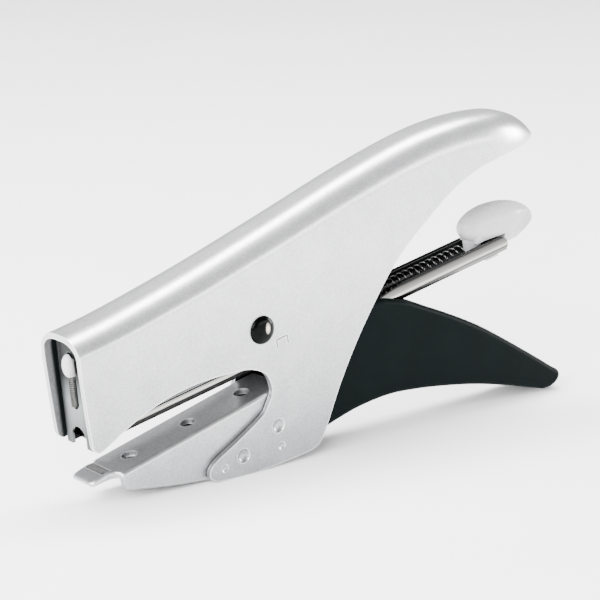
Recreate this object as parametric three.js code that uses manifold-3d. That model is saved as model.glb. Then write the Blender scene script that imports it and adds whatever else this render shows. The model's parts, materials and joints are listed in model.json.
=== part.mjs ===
// Stapling pliers, in millimetres.
// +X is sideways, the head is towards -Y, the handles towards +Y, +Z is up.
// The origin is the centre of the object's footprint, on the surface it stands on.
import * as THREE from 'three';
import { mergeVertices } from 'three/addons/utils/BufferGeometryUtils.js';
import Module from 'manifold-3d';

const wasm = await Module();
wasm.setup();

// ---------- driving dimensions ----------
const GAP = 0.3; // running gap between neighbours
const SHELL_HALF = 8.3; // half the body's width
const SHELL_WALL = 1.35;
const INNER_HALF = SHELL_HALF - SHELL_WALL;
const NOSE_START = 46; // where the upper handle begins to narrow
const NOSE_END = 68.9;
const DATUM_Y = 2.45; // the drawing's zero, measured from the footprint's centre
const CROWN_HOLLOW = 0.955; // share of the crown's length that is hollow
const PIVOT = { y: -28, z: 36.9 }; // main rivet
const RIVET_R = 1.9;
const BUSH_R = 3.2;

const ARM_OUT = INNER_HALF - GAP; // steel side arms
const ARM_IN = ARM_OUT - 1.2;
const HANDLE_HALF = INNER_HALF - GAP;

const MAG_ORIGIN = [0, -71, 16.6]; // a point on the underside of the channel
const MAG_SLOPE = THREE.MathUtils.degToRad(11.2);
const MAG_HALF = 5;
const SHEET = 0.6; // magazine sheet thickness
const MAG_FRONT = -3.3; // along the magazine
const MAG_REAR = 131.7;
const WALL_TOP = 4.6;
const STAPLE_TOP = 6.5;
const RAIL_TOP = STAPLE_TOP - SHEET - GAP;
const RAIL_HALF = 3.2;
const STICK_END = 36;
const TROUGH_START = 95;
const TROUGH_END = 131.4;
const TAIL_ROUND = 2.4; // rounding of the rear ends of the channel and the trough
const SPRING_AXIS = 3.15; // height of the follower spring over the underside

const PLATE_ORIGIN = [0, -76.95, 15]; // front face of the front plate, lower edge
const PLATE_LEAN = THREE.MathUtils.degToRad(6.1);
const PLATE_HEIGHT = 27.4;
const PLATE_HALF = 6.05;
const PLATE_THICK = 0.8;
const FLANGE = 1.3; // depth of the front plate's folded sides
const BLADE_BACK = PLATE_THICK + GAP + SHEET;
const BUTTON_Z = 20.8;
const DRIVE_PIN_BACK = 4.6; // drive pin behind the front face
const PIN_R = 1.2;

const JAW_SLOPE = 0.262; // rise of the jaw's top per unit length
const JAW_HALF = 6.6;
const JAW_NOSE = -69.8;
const JAW_NOSE_Z = 7.8;

const ROUND = 16; // sides of a small round feature

// ---------- materials ----------
function material(color, roughness, metalness) {
  return new THREE.MeshStandardMaterial({ color, roughness, metalness });
}
const paint = material(0xe6e7e9, 0.35, 0.4);
const nickel = material(0xc9c5bb, 0.22, 1);
const steel = material(0x9a9c9c, 0.35, 1);
const gunmetal = material(0x3c403f, 0.3, 1);
const darkPlastic = material(0x1b2b2b, 0.45, 0);
const blackPlastic = material(0x15191a, 0.4, 0);
const whitePlastic = material(0xf2f2f2, 0.3, 0);

// ---------- geometry helpers ----------
function solidOf(geometry) {
  geometry.deleteAttribute('normal');
  geometry.deleteAttribute('uv');
  const merged = mergeVertices(geometry, 1e-4);
  return new wasm.Manifold(new wasm.Mesh({
    numProp: 3,
    vertProperties: new Float32Array(merged.attributes.position.array),
    triVerts: new Uint32Array(merged.index.array),
  }));
}

function geometryOf(solid) {
  const mesh = solid.getMesh();
  const geometry = new THREE.BufferGeometry();
  const points = new THREE.BufferAttribute(new Float32Array(mesh.vertProperties), 3);
  geometry.setAttribute('position', points);
  geometry.setIndex(new THREE.BufferAttribute(new Uint32Array(mesh.triVerts), 1));
  return geometry;
}

// a side outline in (length, height), made solid from x0 to x1
const SIDEWAYS = new THREE.Matrix4().makeBasis(
  new THREE.Vector3(0, 1, 0),
  new THREE.Vector3(0, 0, 1),
  new THREE.Vector3(1, 0, 0),
);
function sidePlate(shape, x0, x1, curveSegments = 2, round = 0) {
  const geometry = new THREE.ExtrudeGeometry(shape, {
    depth: x1 - x0 - 2 * round,
    curveSegments,
    bevelEnabled: round > 0,
    bevelThickness: round,
    bevelSize: round,
    bevelOffset: -round,
    bevelSegments: 3,
  });
  geometry.translate(0, 0, x0 + round);
  geometry.applyMatrix4(SIDEWAYS);
  return solidOf(geometry);
}

// a section in (x, height), made solid from y0 to y1
const LENGTHWAYS = new THREE.Matrix4().makeBasis(
  new THREE.Vector3(1, 0, 0),
  new THREE.Vector3(0, 0, 1),
  new THREE.Vector3(0, -1, 0),
);
function lengthBar(points, y0, y1) {
  const shape = new THREE.Shape(points.map(([x, z]) => new THREE.Vector2(x, z)));
  const geometry = new THREE.ExtrudeGeometry(shape, { depth: y1 - y0, bevelEnabled: false });
  geometry.applyMatrix4(LENGTHWAYS);
  geometry.translate(0, y1, 0);
  return solidOf(geometry);
}

function box(x0, x1, y0, y1, z0, z1) {
  const geometry = new THREE.BoxGeometry(x1 - x0, y1 - y0, z1 - z0);
  geometry.translate((x0 + x1) / 2, (y0 + y1) / 2, (z0 + z1) / 2);
  return solidOf(geometry);
}

// a round pin across the object, along X
function crossPin(radius, y, z, x0, x1, sides = ROUND) {
  const geometry = new THREE.CylinderGeometry(radius, radius, x1 - x0, sides);
  geometry.rotateZ(Math.PI / 2);
  geometry.translate((x0 + x1) / 2, y, z);
  return solidOf(geometry);
}

// an upright round pin, along Z
function uprightPin(radius, x, y, z0, z1, sides = ROUND) {
  const geometry = new THREE.CylinderGeometry(radius, radius, z1 - z0, sides);
  geometry.rotateX(Math.PI / 2);
  geometry.translate(x, y, (z0 + z1) / 2);
  return solidOf(geometry);
}

// a round rod along Y
function lengthRod(radius, z, y0, y1, sides = 10) {
  const geometry = new THREE.CylinderGeometry(radius, radius, y1 - y0, sides);
  geometry.translate(0, (y0 + y1) / 2, z);
  return solidOf(geometry);
}

// a shape from a list of steps: two numbers are a corner, a list of points is a smooth run
function outline(steps) {
  const shape = new THREE.Shape();
  shape.moveTo(...steps[0]);
  for (const step of steps.slice(1)) {
    if (Array.isArray(step[0])) {
      shape.splineThru(step.map(([a, b]) => new THREE.Vector2(a, b)));
    } else {
      shape.lineTo(...step);
    }
  }
  return shape;
}

// joins rings of points, ordered left, over the top, right, into a closed body
function loft(rings) {
  const size = rings[0].length;
  const points = rings.flat();
  const faces = [];
  for (let i = 0; i + 1 < rings.length; i += 1) {
    for (let j = 0; j < size; j += 1) {
      const next = (j + 1) % size;
      const a = i * size + j;
      const b = i * size + next;
      const c = (i + 1) * size + next;
      const d = (i + 1) * size + j;
      faces.push(a, b, c, a, c, d);
    }
  }
  const last = (rings.length - 1) * size;
  for (let j = 1; j + 1 < size; j += 1) {
    faces.push(0, j + 1, j, last, last + j, last + j + 1);
  }
  const geometry = new THREE.BufferGeometry();
  geometry.setAttribute('position', new THREE.Float32BufferAttribute(points.flat(), 3));
  geometry.setIndex(faces);
  return solidOf(geometry);
}

// a wire wound as a coil along Y from y0 to y1, at x = 0 and height z
class Helix extends THREE.Curve {
  constructor(radius, turns, y0, y1, z) {
    super();
    Object.assign(this, { radius, turns, y0, y1, z });
  }

  getPoint(t, target = new THREE.Vector3()) {
    const angle = 2 * Math.PI * this.turns * t;
    return target.set(
      this.radius * Math.cos(angle),
      this.y0 + (this.y1 - this.y0) * t,
      this.z + this.radius * Math.sin(angle),
    );
  }
}
function coil(radius, wire, turns, y0, y1, z) {
  const section = new THREE.Shape().absarc(0, 0, wire / 2, 0, 2 * Math.PI);
  return solidOf(new THREE.ExtrudeGeometry(section, {
    extrudePath: new Helix(radius, turns, y0, y1, z),
    steps: Math.round(turns * 10),
    curveSegments: 3,
    bevelEnabled: false,
  }));
}

// ---------- assembly ----------
const object = new THREE.Group();
const drawing = new THREE.Group();
drawing.position.y = DATUM_Y;
object.add(drawing);
const magazineFrame = new THREE.Group();
magazineFrame.position.set(...MAG_ORIGIN);
magazineFrame.rotation.x = MAG_SLOPE;
const plateFrame = new THREE.Group();
plateFrame.position.set(...PLATE_ORIGIN);
plateFrame.rotation.x = PLATE_LEAN;
drawing.add(magazineFrame, plateFrame);

function addPiece(group, name, solid, finish) {
  const mesh = new THREE.Mesh(geometryOf(solid), finish);
  mesh.name = name;
  group.add(mesh);
  return mesh;
}

// a point of a turned group, as [y, z] of the drawing
function placed([, y0, z0], turn, y, z) {
  return [
    y0 + y * Math.cos(turn) - z * Math.sin(turn),
    z0 + y * Math.sin(turn) + z * Math.cos(turn),
  ];
}
const DRIVE_PIN = placed(PLATE_ORIGIN, PLATE_LEAN, DRIVE_PIN_BACK, BUTTON_Z);

// ---------- body shell ----------
// The crown's top line, from ahead of the head to the tip of the upper handle.
const crownLine = new THREE.SplineCurve([
  [-88, 42.7], [-70, 46.8], [-46, 54], [-21.3, 62.5], [4.5, 71.7], [24, 77.6], [37, 80],
  [47, 80.6], [56, 80], [63, 77.2], [NOSE_END - 0.2, 72.4],
].map(([y, z]) => new THREE.Vector2(y, z)));

function crownHalfWidth(y) {
  const past = Math.max(0, (y - NOSE_START) / (NOSE_END - NOSE_START));
  return SHELL_HALF * Math.sqrt(Math.max(0, 1 - past ** 2));
}

// flat top, rounded shoulders and straight sides, at one place along the crown
function crownRing(t, inset) {
  const { x: y, y: z } = crownLine.getPoint(t);
  const half = crownHalfWidth(y + inset) - inset;
  const flat = half * 0.2;
  const shoulder = 5 + 3.4 * t - inset * 0.6;
  const steps = 6;
  const right = [];
  for (let i = 0; i <= steps; i += 1) {
    const angle = (i / steps) * (Math.PI / 2);
    const x = flat + (half - flat) * Math.sin(angle);
    right.push([x, y, z - inset - shoulder * (1 - Math.cos(angle))]);
  }
  right.push([half, y, -2 - inset]);
  const left = right.map(([x, ...rest]) => [-x, ...rest]).reverse();
  return [...left, ...right];
}

function crownBody(inset, until) {
  const stations = 26;
  const rings = [];
  for (let i = 0; i <= stations; i += 1) {
    rings.push(crownRing((i / stations) * until, inset));
  }
  return loft(rings);
}

function shellSide() {
  return outline([
    [-84.3, 60],
    [-82.3, 43],
    [[-81.1, 31], [-79.7, 18]],
    [[-79.2, 16.6], [-78.2, 15.7], [-77, 15.4]],
    [[-75.1, 16.1], [-70.5, 18.9], [-66.5, 21.1], [-58.8, 24.4], [-51.2, 26.4], [-43.5, 27.4],
      [-34, 27.6], [-30, 26.9], [-27, 25.3], [-25.4, 22.9], [-24.8, 20], [-25.9, 17.2],
      [-27.5, 14.7]],
    [[-32.1, 11.6], [-36.9, 8.7], [-42, 5.8], [-44.2, 3.5], [-44, 1.4], [-42, 0.3]],
    [-37, 0],
    [-31, 0],
    [[-22.7, 0.7], [-16, 1.5]],
    [[-11.7, 2.2], [-9.6, 3.3], [-8.2, 5.2]],
    [[-6.6, 8.8], [-2.4, 18.7], [2.7, 28.4], [8.4, 37.4], [14.3, 45.5], [20.6, 51.9],
      [31.6, 60.7], [38, 64.7], [44, 67.4], [52, 69.3], [60, 70.6]],
    [NOSE_END + 1, 72.3],
    [NOSE_END + 1, 90],
    [-84.3, 90],
  ]);
}

// round dents that clinch the legs on to the jaw: [y, z, radius]
const DENTS = [[-33.9, 5.3, 1.8], [-22.9, 10.9, 1.8], [-39.7, 3.3, 1], [-21.8, 5.4, 1]];
const DENT_DEPTH = 0.45;

function bodyShell() {
  const side = sidePlate(shellSide(), -SHELL_HALF - 1, SHELL_HALF + 1, 2);
  let shell = crownBody(0, 1).intersect(side).subtract(crownBody(SHELL_WALL, CROWN_HOLLOW));
  shell = shell.subtract(crossPin(RIVET_R + GAP, PIVOT.y, PIVOT.z, -10, 10));
  for (const [y, z, radius] of DENTS) {
    for (const way of [-1, 1]) {
      const face = way * SHELL_HALF;
      const inner = face - way * DENT_DEPTH;
      const [x0, x1] = [Math.min(inner, face + way), Math.max(inner, face + way)];
      shell = shell.subtract(crossPin(radius, y, z, x0, x1, 12));
    }
  }
  return shell;
}

// ---------- lower jaw and anvil ----------
const jawTop = (y) => JAW_NOSE_Z + JAW_SLOPE * (y - JAW_NOSE);
const JAW_BACK = -19.5;
const JAW_WALL = 1.4;
const JAW_HOLES = [-62.7, -45.1, -28.3];
const ANVIL = { y: -72.1, half: 3.6, long: 2.4, deep: 1 };
const TONGUE_TOP = 8.3;

function lowerJaw() {
  const body = sidePlate(outline([
    [JAW_NOSE + 0.6, jawTop(JAW_NOSE + 0.6)],
    [[-69.4, 7.2], [-68.7, 4.8]],
    [[-68.1, 3.8], [-66.8, 3.2], [-62.2, 2.5]],
    [[-55, 1.5], [-47.8, 0.8], [-40.4, 0.3]],
    [-30, 0.6],
    [JAW_BACK, 2],
    [JAW_BACK, jawTop(JAW_BACK)],
  ]), -JAW_HALF, JAW_HALF, 2);
  const hollow = sidePlate(outline([
    [JAW_NOSE - 1, jawTop(JAW_NOSE - 1) - JAW_WALL],
    [JAW_NOSE - 1, -2],
    [JAW_BACK + 2, -2],
    [JAW_BACK + 2, jawTop(JAW_BACK + 2) - JAW_WALL],
  ]), -JAW_HALF + JAW_WALL, JAW_HALF - JAW_WALL);
  const tongue = sidePlate(outline([
    [JAW_NOSE + 2.5, TONGUE_TOP],
    [-72.2, TONGUE_TOP],
    [-76.2, 6.8],
    [[-76.8, 6.4], [-76.9, 5.9], [-76.4, 5.5]],
    [-72.2, 6.2],
    [JAW_NOSE + 2.5, 6.7],
  ]), -4.5, 4.5, 2);
  let jaw = body.subtract(hollow).add(tongue);
  for (const y of JAW_HOLES) {
    jaw = jaw.subtract(uprightPin(2, 0, y, 2, 30));
  }
  const { y, half, long, deep } = ANVIL;
  const pocket = box(-half, half, y - long / 2, y + long / 2, TONGUE_TOP - deep, TONGUE_TOP + 2);
  return jaw.subtract(pocket);
}

function anvilPlate() {
  const { y, half, long, deep } = ANVIL;
  const [wide, reach] = [half - GAP, long / 2 - GAP];
  return box(-wide, wide, y - reach, y + reach, TONGUE_TOP - deep + GAP, TONGUE_TOP - 0.2);
}

// ---------- rivet, bush and return spring ----------
function mainRivet() {
  const [face, dome, headR] = [SHELL_HALF + 0.1, 1, 3.65];
  const head = [];
  for (let i = 0; i <= 4; i += 1) {
    const angle = (i / 4) * (Math.PI / 2);
    head.push([headR * Math.cos(angle), face + 0.2 + dome * Math.sin(angle)]);
  }
  const half = [[RIVET_R, face], [headR, face], ...head];
  const mirrored = half.map(([r, x]) => [r, -x]).reverse();
  const profile = [...mirrored, ...half].map(([r, x]) => new THREE.Vector2(Math.max(r, 0), x));
  profile[0].x = 0;
  profile[profile.length - 1].x = 0;
  const geometry = new THREE.LatheGeometry(profile, ROUND);
  geometry.rotateZ(-Math.PI / 2);
  geometry.translate(0, PIVOT.y, PIVOT.z);
  return solidOf(geometry);
}

const SPRING = { y: -12, wire: 1, radius: 3.2, foot: 45.2, head: 58.5, turns: 6 };
const CUP = { top: 61.6, radius: 4.6, bore: 4 };

function springCup() {
  const cup = uprightPin(CUP.radius, 0, SPRING.y, SPRING.head - 1, CUP.top);
  return cup.subtract(uprightPin(CUP.bore, 0, SPRING.y, SPRING.head - 2, SPRING.head + GAP));
}

function returnSpring() {
  const { radius, wire, turns, foot, head, y } = SPRING;
  const half = wire / 2;
  const spring = coil(radius, wire, turns, foot + half, head - half, 0);
  const geometry = geometryOf(spring);
  geometry.rotateX(Math.PI / 2);
  geometry.translate(0, y, 0);
  return solidOf(geometry);
}

// ---------- lever ----------
const HANDLE_PINS = { front: [-9.6, 12.4], rear: [-4.2, 22.6] };
const SADDLE = [SPRING.y, 42];

function armSide() {
  const [y, z] = DRIVE_PIN;
  const nose = 2.3;
  return outline([
    [y + 1, z + nose],
    [-45, 41.4],
    [-30, 42.3],
    [[-14.5, 44.6], [-10.5, 44.2], [-9, 41]],
    [-5, 34],
    [[0, 28.5], [0.6, 26], [-1.5, 20.5]],
    [-6.4, 12],
    [[-8.6, 8.7], [-11, 8.9], [-12.6, 11]],
    [-16.5, 20],
    [-21, 28],
    [-27, 31.3],
    [-60, 33.6],
    [y + 1, z - nose],
    [[y - 1.6, z - 1.6], [y - nose, z], [y - 1.6, z + 1.6], [y + 1, z + nose]],
  ]);
}

function leverArm(way) {
  const [x0, x1] = way > 0 ? [ARM_IN, ARM_OUT] : [-ARM_OUT, -ARM_IN];
  let arm = sidePlate(armSide(), x0, x1, 2);
  arm = arm.subtract(crossPin(BUSH_R + GAP, PIVOT.y, PIVOT.z, x0 - 1, x1 + 1));
  for (const [y, z] of [DRIVE_PIN, ...Object.values(HANDLE_PINS)]) {
    arm = arm.subtract(crossPin(PIN_R + GAP, y, z, x0 - 1, x1 + 1));
  }
  return arm;
}

function handleSide() {
  return outline([
    [13.5, 36.9],
    [[20.5, 35.4], [25.9, 33.3], [36.4, 28.8], [47.3, 23.5], [58.4, 17], [69.8, 9.9]],
    [[74.6, 6.8], [76.9, 5.4], [77.5, 3.9], [76.6, 2.2], [74.4, 1]],
    [71.6, 0.8],
    [[65.5, 2.4], [58.6, 4.3], [47.7, 6.9], [37, 8.7], [26.3, 10], [15.9, 10.5], [5.7, 9.3],
      [-2.8, 7.1]],
    [[-8, 5.4], [-11.8, 5.5], [-12.8, 8]],
    [-9, 18],
    [-3, 28],
    [[1.5, 33.6], [7, 36.8], [13.5, 36.9]],
  ]);
}

function lowerHandle() {
  const nest = sidePlate(outline([
    [-20, 25.2], [2, 25.2], [6, 21.2], [34, 21.2], [46, 23.8], [46, 60], [-20, 60],
  ]), -MAG_HALF - GAP, MAG_HALF + GAP);
  let handle = sidePlate(handleSide(), -HANDLE_HALF, HANDLE_HALF, 2, 1.1).subtract(nest);
  const armPocket = outline([
    [-20, 5], [-5, 8.5], [2.2, 25.5], [1, 29.6], [-4, 35], [-4, 50], [-20, 50],
  ]);
  handle = handle.subtract(sidePlate(armPocket, ARM_IN - GAP, SHELL_HALF));
  handle = handle.subtract(sidePlate(armPocket, -SHELL_HALF, GAP - ARM_IN));
  for (const [y, z] of Object.values(HANDLE_PINS)) {
    handle = handle.subtract(crossPin(PIN_R + GAP, y, z, -10, 10));
  }
  return handle;
}

function springSaddle() {
  const half = ARM_IN - GAP;
  const seat = box(-half, half, SPRING.y - 3.8, SPRING.y + 3.8, 43, SPRING.foot - GAP);
  return seat.add(crossPin(2, ...SADDLE, -half, half));
}

// ---------- magazine ----------
function channelSection(half, low, top, chamfer, rise) {
  return [
    [-half, top], [-half, low + rise], [-half + chamfer, low],
    [half - chamfer, low], [half, low + rise], [half, top],
  ];
}

// what a rounded upper corner takes off the rear end of a wall
function tailCorner(rear, top) {
  const [start, foot, reach] = [rear - TAIL_ROUND, top - TAIL_ROUND, 7];
  const eased = TAIL_ROUND * Math.SQRT1_2;
  return sidePlate(outline([
    [start, top],
    [[start + eased, foot + eased], [rear, foot]],
    [rear + 1, foot],
    [rear + 1, top + 1],
    [start, top + 1],
  ]), -reach, reach);
}

const HANGER_REAR = 60;
const HANGER_FOOT = 3.3;
const HANGER_TOP = 11.5; // at its front end, below the lowest place of the drive pin
const HANGER_BRIDGE = { start: 12, end: 30, low: 11.2, high: 11.8 };

function magazineChannel() {
  const outer = lengthBar(channelSection(MAG_HALF, 0, WALL_TOP, 1, 1.8), MAG_FRONT, MAG_REAR);
  const inner = channelSection(MAG_HALF - SHEET, SHEET, WALL_TOP + 1, 0.8, 1.5);
  let channel = outer.subtract(lengthBar(inner, MAG_FRONT - 1, MAG_REAR + 1));
  const lowered = outline([
    [-20, HANGER_FOOT - GAP], [HANGER_REAR + 1, HANGER_FOOT - GAP], [86, 3.4], [94, WALL_TOP],
    [94, 9], [-20, 9],
  ]);
  channel = channel.subtract(sidePlate(lowered, -7, 7));
  channel = channel.subtract(tailCorner(MAG_REAR, WALL_TOP));
  return channel.subtract(box(-1.9, 1.9, 121, MAG_REAR + 1, -1, 2));
}

// where the rivet lies in the magazine's own frame
const PIVOT_IN_MAG = (() => {
  const [y, z] = [PIVOT.y - MAG_ORIGIN[1], PIVOT.z - MAG_ORIGIN[2]];
  return [
    y * Math.cos(MAG_SLOPE) + z * Math.sin(MAG_SLOPE),
    z * Math.cos(MAG_SLOPE) - y * Math.sin(MAG_SLOPE),
  ];
})();

function magazineHanger() {
  const [u, v] = PIVOT_IN_MAG;
  const ear = 4.9;
  const side = outline([
    [MAG_FRONT + 0.8, HANGER_FOOT],
    [HANGER_REAR, HANGER_FOOT],
    [HANGER_REAR, 6],
    [[u + ear, v + 0.4], [u + 3.2, v + 3.9], [u, v + ear], [u - 3.6, v + 4]],
    [u - 9, 12.8],
    [MAG_FRONT + 0.8, HANGER_TOP],
  ]);
  const block = sidePlate(side, -MAG_HALF + 0.05, MAG_HALF - 0.05);
  const inner = MAG_HALF - SHEET;
  const between = box(-inner, inner, -10, 70, 0, 30);
  const { start, end, low, high } = HANGER_BRIDGE;
  const bridge = box(-inner - 0.1, inner + 0.1, start, end, low, high);
  const hole = crossPin(BUSH_R + GAP, u, v, -8, 8);
  return block.subtract(between).add(bridge).subtract(hole);
}

const RAIL_REAR = 88;

function saddleSection(half, low, top) {
  return [
    [-half, low], [-half, top], [half, top], [half, low],
    [half - SHEET, low], [half - SHEET, top - SHEET], [SHEET - half, top - SHEET],
    [SHEET - half, low],
  ];
}

function stapleRail() {
  const rail = lengthBar(saddleSection(RAIL_HALF, SHEET + GAP, RAIL_TOP), MAG_FRONT, RAIL_REAR);
  return rail.subtract(box(-0.8, 0.8, STICK_END - 2, RAIL_REAR + 1, 3, 9));
}

const STAPLE_HALF = 4.1;
const STAPLE_FOOT = 1.9;

function stapleStick() {
  const section = saddleSection(STAPLE_HALF, STAPLE_FOOT, STAPLE_TOP);
  return lengthBar(section, MAG_FRONT, STICK_END);
}

const SLOT = { half: 1.65, low: 9.7, high: 24.15 };
const NOTCH = 3; // half width of the notch that lets the staples out

function frontPlate() {
  const inside = PLATE_HALF - PLATE_THICK;
  let plate = lengthBar(plateOutline(PLATE_HALF), 0, FLANGE);
  plate = plate.subtract(box(-inside, inside, PLATE_THICK, FLANGE + 1, -1, PLATE_HEIGHT + 1));
  const slot = new THREE.Shape()
    .absarc(0, SLOT.low + SLOT.half, SLOT.half, Math.PI, 2 * Math.PI)
    .absarc(0, SLOT.high - SLOT.half, SLOT.half, 0, Math.PI);
  const notch = new THREE.Shape()
    .moveTo(NOTCH, -1)
    .absarc(0, 2, NOTCH, 0, Math.PI)
    .lineTo(-NOTCH, -1);
  for (const shape of [slot, notch]) {
    const points = shape.getPoints(5).map(({ x, y }) => [x, y]);
    plate = plate.subtract(lengthBar(points, -1, PLATE_THICK + 3));
  }
  return plate;
}

function plateOutline(half) {
  const round = 3.4;
  const corner = (way) => [0, 1, 2, 3].map((i) => {
    const angle = (i / 3) * (Math.PI / 2);
    const [side, lift] = way > 0 ? [Math.cos(angle), Math.sin(angle)]
      : [-Math.sin(angle), Math.cos(angle)];
    return [way * (half - round) + round * side, PLATE_HEIGHT - round + round * lift];
  });
  return [[half, 0], ...corner(1), ...corner(-1), [-half, 0]];
}

function driverSpring() {
  const spring = coil(1, 0.36, 7, 9.95, 17.2, 0);
  const geometry = geometryOf(spring);
  geometry.rotateX(Math.PI / 2);
  geometry.translate(0, -0.25, 0);
  return solidOf(geometry);
}

// ---------- driver ----------
const BLADE_FOOT = 7.2;

function driverBlade() {
  return box(-3.9, 3.9, PLATE_THICK + GAP, BLADE_BACK, BLADE_FOOT, BUTTON_Z + 3.4);
}

function driverHead() {
  const [low, high] = [BUTTON_Z - 3.4, BUTTON_Z + 3.4];
  const head = box(-4, 4, BLADE_BACK + GAP, DRIVE_PIN_BACK + 2.8, low, high);
  return head.subtract(crossPin(PIN_R + 0.6, DRIVE_PIN_BACK, BUTTON_Z, -6, 6));
}

function driverButton() {
  const geometry = new THREE.SphereGeometry(1, 14, 10);
  geometry.scale(2.3, 0.95, 3);
  geometry.translate(0, -0.95, BUTTON_Z + 0.5);
  const half = SLOT.half - GAP;
  const stem = box(-half, half, -0.9, PLATE_THICK, BUTTON_Z - 2.4, BUTTON_Z + 1.6);
  const ahead = box(-4, 4, -4, -GAP, BUTTON_Z - 5, BUTTON_Z + 5);
  return solidOf(geometry).intersect(ahead).add(stem);
}

// ---------- loading carrier ----------
const TROUGH_TOP = 4.9;
const NECK = [119.6, 126];

function springTrough() {
  const outer = channelSection(STAPLE_HALF, SHEET + GAP, TROUGH_TOP, 0.9, 1.3);
  const inner = channelSection(STAPLE_HALF - 0.7, 1.3, 7, 0.6, 0.9);
  const trough = lengthBar(outer, TROUGH_START, TROUGH_END);
  const hollow = lengthBar(inner, TROUGH_START - 1, NECK[1] + GAP);
  return trough.subtract(hollow).subtract(tailCorner(TROUGH_END, TROUGH_TOP));
}

const PADDLE = { along: 132.2, up: 6.9, half: 4.4, reach: 12.8, rise: 5.9 };

function followerHandle() {
  const geometry = new THREE.SphereGeometry(1, 20, 12);
  geometry.scale(PADDLE.half, PADDLE.reach, PADDLE.rise);
  geometry.rotateX(-MAG_SLOPE);
  geometry.translate(0, PADDLE.along, PADDLE.up);
  const overRail = box(-9, 9, 90, MAG_REAR + GAP, -9, WALL_TOP + 2 * GAP);
  const neck = box(-3, 3, ...NECK, 1.8, 7);
  return solidOf(geometry).subtract(overRail).add(neck);
}

function latchNub() {
  const foot = box(-2.1, 2.1, 126, 130.2, -1.5, -0.35);
  return foot.add(box(-1.4, 1.4, 126.4, 129.4, -0.5, SHEET));
}

function followerSpring() {
  return coil(1.55, 0.45, 15, 45, NECK[0] - GAP, SPRING_AXIS);
}

// ---------- pusher ----------
const PUSHER_END = STICK_END + GAP + 8;

function pusher() {
  const start = STICK_END + GAP;
  const over = lengthBar(saddleSection(STAPLE_HALF, STAPLE_FOOT, STAPLE_TOP), start, PUSHER_END);
  const core = box(-2.2, 2.2, start, PUSHER_END, 1.4, RAIL_TOP - SHEET - GAP);
  return over.add(core).add(box(-0.5, 0.5, start, PUSHER_END, 4, RAIL_TOP + GAP + 0.1));
}

const COLLAR_START = 76;

function rodCollar() {
  const collar = lengthRod(1.15, SPRING_AXIS, COLLAR_START, COLLAR_START + 2.5, 12);
  return collar.subtract(lengthRod(0.75, SPRING_AXIS, COLLAR_START - 1, COLLAR_START + 4, 12));
}

// ---------- put together ----------
addPiece(drawing, 'body_shell', bodyShell(), paint);
addPiece(drawing, 'lower_jaw', lowerJaw(), paint);
addPiece(drawing, 'anvil_plate', anvilPlate(), steel);
addPiece(drawing, 'pivot_rivet', mainRivet(), gunmetal);
const bushEnd = ARM_OUT;
const bush = crossPin(BUSH_R, PIVOT.y, PIVOT.z, -bushEnd, bushEnd);
const bushBore = crossPin(RIVET_R + GAP, PIVOT.y, PIVOT.z, -9, 9);
addPiece(drawing, 'pivot_bush', bush.subtract(bushBore), steel);
addPiece(drawing, 'spring_cup', springCup(), blackPlastic);
addPiece(drawing, 'return_spring', returnSpring(), steel);

addPiece(drawing, 'lower_handle', lowerHandle(), darkPlastic);
addPiece(drawing, 'lever_arm_left', leverArm(-1), steel);
addPiece(drawing, 'lever_arm_right', leverArm(1), steel);
for (const [end, [y, z]] of Object.entries(HANDLE_PINS)) {
  addPiece(drawing, `handle_pin_${end}`, crossPin(PIN_R, y, z, -ARM_OUT, ARM_OUT), steel);
}
addPiece(drawing, 'drive_pin', crossPin(PIN_R, ...DRIVE_PIN, -ARM_OUT, ARM_OUT), steel);
addPiece(drawing, 'spring_saddle', springSaddle(), steel);

addPiece(magazineFrame, 'magazine_channel', magazineChannel(), nickel);
addPiece(magazineFrame, 'magazine_hanger', magazineHanger(), steel);
addPiece(magazineFrame, 'staple_rail', stapleRail(), steel);
addPiece(magazineFrame, 'staple_stick', stapleStick(), steel);
addPiece(plateFrame, 'front_plate', frontPlate(), steel);
addPiece(plateFrame, 'driver_spring', driverSpring(), steel);

addPiece(plateFrame, 'driver_blade', driverBlade(), steel);
addPiece(plateFrame, 'driver_head', driverHead(), steel);
addPiece(plateFrame, 'driver_button', driverButton(), whitePlastic);

addPiece(magazineFrame, 'spring_trough', springTrough(), blackPlastic);
addPiece(magazineFrame, 'follower_handle', followerHandle(), whitePlastic);
addPiece(magazineFrame, 'latch_nub', latchNub(), whitePlastic);
addPiece(magazineFrame, 'follower_spring', followerSpring(), steel);

addPiece(magazineFrame, 'pusher', pusher(), steel);
addPiece(magazineFrame, 'pusher_rod', lengthRod(0.5, SPRING_AXIS, PUSHER_END + GAP, 102), steel);
addPiece(magazineFrame, 'rod_collar', rodCollar(), steel);

export default object;
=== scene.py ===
"""The visual model of a pair of stapling pliers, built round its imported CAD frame.

Lengths in this file are millimetres until a mesh is made, which scales them to metres.
+X is sideways, the head is towards -Y and +Z is up.
"""

import json
import math

import bmesh
import bpy
from mathutils import Matrix, Vector


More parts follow.
